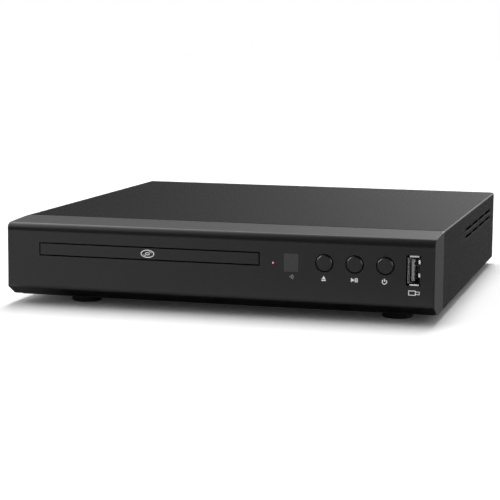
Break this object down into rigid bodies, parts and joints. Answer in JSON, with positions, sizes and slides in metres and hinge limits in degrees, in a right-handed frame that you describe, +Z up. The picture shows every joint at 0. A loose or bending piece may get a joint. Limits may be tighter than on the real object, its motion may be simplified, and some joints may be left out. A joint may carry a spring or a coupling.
{
  "type": "dvd player with tray",
  "caption": "Compact black disc player: bevelled bezel with a motorised disc tray, three round buttons and an upright port, in a bent steel case on four round feet.",
  "frame": {"origin": "middle of the bounding box, on the plane of the undersides of the feet", "axes": "+X to the right as seen from the front, +Y from the bezel to the rear panel, +Z up"},
  "size_m": [0.2446, 0.2628, 0.0482],
  "materials": {
    "bezel_plastic": "fine satin texture",
    "cover_paint": "fine textured black powder coat",
    "rear_paint": "fine textured black powder coat",
    "galvanised_steel": "galvanised sheet",
    "foot_rubber": "matt",
    "black_screw": "black zinc",
    "zinc_screw": "zinc plated",
    "smoked_acrylic": "polished",
    "red_lens": "clear red, glows a little",
    "diode_epoxy": "clear",
    "nickel_plate": "nickel plated sheet",
    "tongue_plastic": "moulded",
    "board_green": "solder mask",
    "board_brown": "phenolic paper board",
    "chip_epoxy": "moulded",
    "capacitor_sleeve": "shrink sleeve",
    "connector_ivory": "moulded nylon",
    "ribbon_white": "flat flexible cable",
    "wire_red": "wire insulation",
    "socket_black": "moulded",
    "jack_nickel": "nickel plated barrels in black housings",
    "coil_tape": "ferrite and yellow tape",
    "fuse_glass": "clear tube in clips",
    "loader_plastic": "moulded ABS",
    "belt_rubber": "smooth",
    "motor_can": "drawn can",
    "tray_plastic": "fine textured",
    "gear_acetal": "moulded acetal",
    "slider_plastic": "moulded acetal",
    "traverse_plastic": "moulded ABS",
    "polished_steel": "ground rod",
    "magnet_ferrite": "sintered",
    "pickup_metal": "die cast",
    "lens_glass": "coated",
    "cap_plastic": "satin",
    "plunger_plastic": "moulded"
  },
  "bodies": {
    "case": {"front_bezel": "bezel_plastic", "top_cover": "cover_paint", "chassis_pan": "galvanised_steel", "rear_panel": "rear_paint", "feet": "foot_rubber", "case_screws": "black_screw", "ir_window": "smoked_acrylic", "led_pipe": "red_lens", "indicator_diode": "diode_epoxy", "usb_shell": "nickel_plate", "usb_tongue": "tongue_plastic", "front_board": "board_green", "tact_switches": "chip_epoxy", "ir_receiver": "chip_epoxy", "front_ribbon": "ribbon_white", "main_board": "board_green", "board_chips": "chip_epoxy", "board_capacitors": "capacitor_sleeve", "board_connectors": "connector_ivory", "inner_screws": "zinc_screw", "av_jacks": "jack_nickel", "hdmi_socket": "nickel_plate", "mains_inlet": "socket_black", "power_board": "board_brown", "transformer": "coil_tape", "fuse": "fuse_glass", "power_harness": "wire_red", "loader_frame": "loader_plastic", "clamp_bridge": "galvanised_steel", "loading_motor": "motor_can", "loading_belt": "belt_rubber"},
    "tray": {"tray": "tray_plastic", "tray_door": "bezel_plastic"},
    "cam_slider": {"cam_slider": "slider_plastic"},
    "drive_gear": {"drive_gear": "gear_acetal"},
    "pulley_gear": {"pulley_gear": "gear_acetal"},
    "motor_pulley": {"motor_pulley": "gear_acetal"},
    "traverse": {"traverse_frame": "traverse_plastic", "mech_plate": "galvanised_steel", "dampers": "belt_rubber", "damper_screws": "zinc_screw", "spindle_motor": "motor_can", "guide_rods": "polished_steel", "sled_motor": "motor_can"},
    "spindle": {"turntable": "traverse_plastic", "spindle_shaft": "polished_steel", "spindle_magnet": "magnet_ferrite"},
    "clamper": {"clamper": "gear_acetal", "clamper_yoke": "galvanised_steel"},
    "sled": {"pickup_body": "pickup_metal"},
    "lens": {"lens_holder": "chip_epoxy", "lens": "lens_glass"},
    "sled_gear": {"sled_gear": "gear_acetal"},
    "sled_pinion": {"sled_pinion": "gear_acetal"},
    "eject_button": {"eject_button": "cap_plastic", "eject_plunger": "plunger_plastic"},
    "play_button": {"play_button": "cap_plastic", "play_plunger": "plunger_plastic"},
    "power_button": {"power_button": "cap_plastic", "power_plunger": "plunger_plastic"}
  },
  "joints": [
    {"name": "tray_slide", "type": "slide", "parent": "case", "child": "tray", "axis": [0, -1, 0], "range_m": [0, 0.14]},
    {"name": "cam_slide", "type": "slide", "parent": "case", "child": "cam_slider", "axis": [-1, 0, 0], "range_m": [0, 0.0221]},
    {"name": "drive_gear_spin", "type": "hinge", "parent": "case", "child": "drive_gear", "pos_m": [0.0016, -0.1087, 0.0178], "axis": [0, 0, 1], "range_deg": [-803, 0]},
    {"name": "pulley_gear_spin", "type": "hinge", "parent": "case", "child": "pulley_gear", "pos_m": [-0.01731, -0.11203, 0.0178], "axis": [0, 0, 1], "range_deg": [0, 2407]},
    {"name": "motor_pulley_spin", "type": "hinge", "parent": "case", "child": "motor_pulley", "pos_m": [-0.0634, -0.1117, 0.0238], "axis": [0, 0, 1], "range_deg": [0, 7220]},
    {"name": "traverse_tilt", "type": "hinge", "parent": "case", "child": "traverse", "pos_m": [-0.0384, 0.0343, 0.0178], "axis": [1, 0, 0], "range_deg": [0, 3.81]},
    {"name": "spindle_spin", "type": "hinge", "parent": "traverse", "child": "spindle", "pos_m": [-0.0384, -0.0527, 0.0238], "axis": [0, 0, 1], "continuous": true},
    {"name": "clamper_spin", "type": "hinge", "parent": "case", "child": "clamper", "pos_m": [-0.0384, -0.0527, 0.0398], "axis": [0, 0, 1], "continuous": true},
    {"name": "sled_slide", "type": "slide", "parent": "traverse", "child": "sled", "axis": [0, 1, 0], "range_m": [0, 0.036]},
    {"name": "sled_gear_spin", "type": "hinge", "parent": "traverse", "child": "sled_gear", "pos_m": [-0.0002, -0.0057, 0.0248], "axis": [0, 0, 1], "range_deg": [-492, 0]},
    {"name": "sled_pinion_spin", "type": "hinge", "parent": "traverse", "child": "sled_pinion", "pos_m": [-0.00202, -0.01604, 0.0278], "axis": [0, 0, 1], "range_deg": [0, 1572]},
    {"name": "lens_focus", "type": "slide", "parent": "sled", "child": "lens", "axis": [0, 0, 1], "range_m": [-0.0003, 0.0005], "stiffness_N_per_m": 150},
    {"name": "eject_press", "type": "slide", "parent": "case", "child": "eject_button", "axis": [0, 1, 0], "range_m": [0, 0.0005], "stiffness_N_per_m": 2500, "springref_m": -0.0002},
    {"name": "play_press", "type": "slide", "parent": "case", "child": "play_button", "axis": [0, 1, 0], "range_m": [0, 0.0005], "stiffness_N_per_m": 2500, "springref_m": -0.0002},
    {"name": "power_press", "type": "slide", "parent": "case", "child": "power_button", "axis": [0, 1, 0], "range_m": [0, 0.0005], "stiffness_N_per_m": 2500, "springref_m": -0.0002}
  ],
  "couplings": [
    {"joint": "cam_slide", "follows": "tray_slide", "ratio": 0.15714},
    {"joint": "drive_gear_spin", "follows": "tray_slide", "rad_per_m": -100},
    {"joint": "pulley_gear_spin", "follows": "tray_slide", "rad_per_m": 300},
    {"joint": "motor_pulley_spin", "follows": "tray_slide", "rad_per_m": 900},
    {"joint": "traverse_tilt", "follows": "tray_slide", "rad_per_m": 0.47373},
    {"joint": "clamper_spin", "follows": "spindle_spin", "ratio": 1},
    {"joint": "sled_gear_spin", "follows": "sled_slide", "rad_per_m": -238.1},
    {"joint": "sled_pinion_spin", "follows": "sled_slide", "rad_per_m": 761.9}
  ]
}
